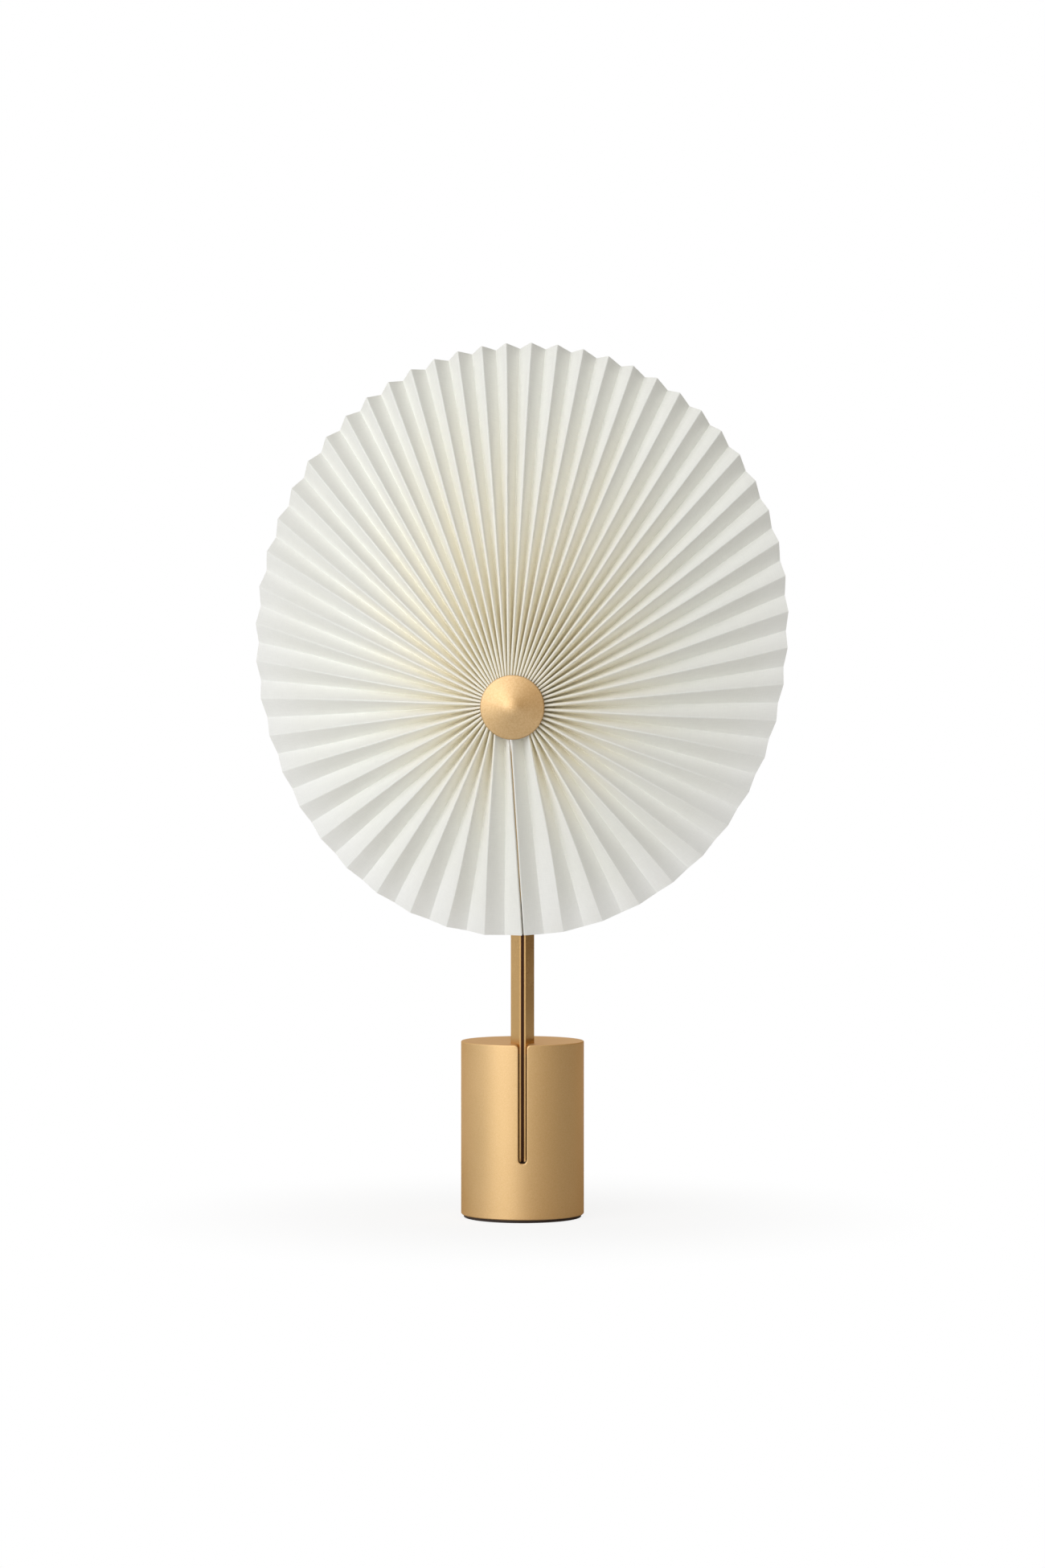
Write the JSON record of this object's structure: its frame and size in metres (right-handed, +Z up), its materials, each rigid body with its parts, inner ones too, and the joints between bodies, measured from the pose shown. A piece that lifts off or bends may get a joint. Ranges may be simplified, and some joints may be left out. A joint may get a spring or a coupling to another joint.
{
  "type": "portable table lamp",
  "caption": "Portable table lamp: an oval pleated shade gathered under a turned hub cap, on a slim square stem whose head swivels, over a slotted round battery base.",
  "frame": {"origin": "centre of the foot pad's underside, on the table", "axes": "+Z up along the stem, -Y towards the front of the shade, +X to the viewer's right"},
  "size_m": [0.2575, 0.095, 0.4249],
  "materials": {
    "satin_brass": "satin, fine blasted and lacquered",
    "foot_rubber": "matte",
    "steel": "turned",
    "zinc_steel": "zinc plated",
    "nickel": "bright nickel",
    "cell_wrap": "shrunk film",
    "black_plastic": "moulded",
    "white_plastic": "moulded",
    "clear_plastic": "polished",
    "opal_plastic": "opal",
    "circuit_board": "solder mask",
    "lead_jacket": "smooth",
    "cast_aluminium": "turned",
    "led_phosphor": "cast silicone",
    "shade_textile": "pleated, stiffened weave"
  },
  "bodies": {
    "base": {"base_shell": "satin_brass", "foot_pad": "foot_rubber", "ballast": "steel", "base_plate": "steel", "base_plate_screws": "zinc_steel", "stem": "satin_brass", "stem_screw": "zinc_steel", "battery_cell": "cell_wrap", "battery_retainer": "black_plastic", "battery_tab_lower": "nickel", "battery_tab_upper": "nickel", "control_board": "circuit_board", "board_screws": "zinc_steel", "board_components": "black_plastic", "lead_connector": "white_plastic", "usb_port": "nickel", "usb_tongue": "black_plastic", "charge_light": "clear_plastic", "switch_body": "black_plastic", "stem_lead": "lead_jacket", "pivot_post": "zinc_steel", "friction_washer": "white_plastic", "pivot_nut": "zinc_steel"},
    "head": {"stop_pin": "zinc_steel", "knuckle": "satin_brass", "knuckle_cap": "satin_brass", "neck_bolt": "zinc_steel", "head_lead": "lead_jacket", "rear_housing": "satin_brass", "heat_sink": "cast_aluminium", "led_board": "circuit_board", "led_chips": "led_phosphor", "diffuser": "opal_plastic", "hub_flange": "satin_brass", "hub_ring": "white_plastic", "hub_stud": "zinc_steel", "shade": "shade_textile", "hub_cap": "satin_brass"},
    "button": {"dimmer_button": "satin_brass", "switch_plunger": "black_plastic"}
  },
  "joints": [
    {"name": "head_swivel", "type": "hinge", "parent": "base", "child": "head", "pos_m": [0, -0.017, 0.249], "axis": [0, 0, 1], "range_deg": [-83.3, 96.7]},
    {"name": "dimmer_press", "type": "slide", "parent": "base", "child": "button", "axis": [0, -1, 0], "range_m": [0, 0.0008], "stiffness_N_per_m": 2500, "springref_m": -0.0004}
  ]
}
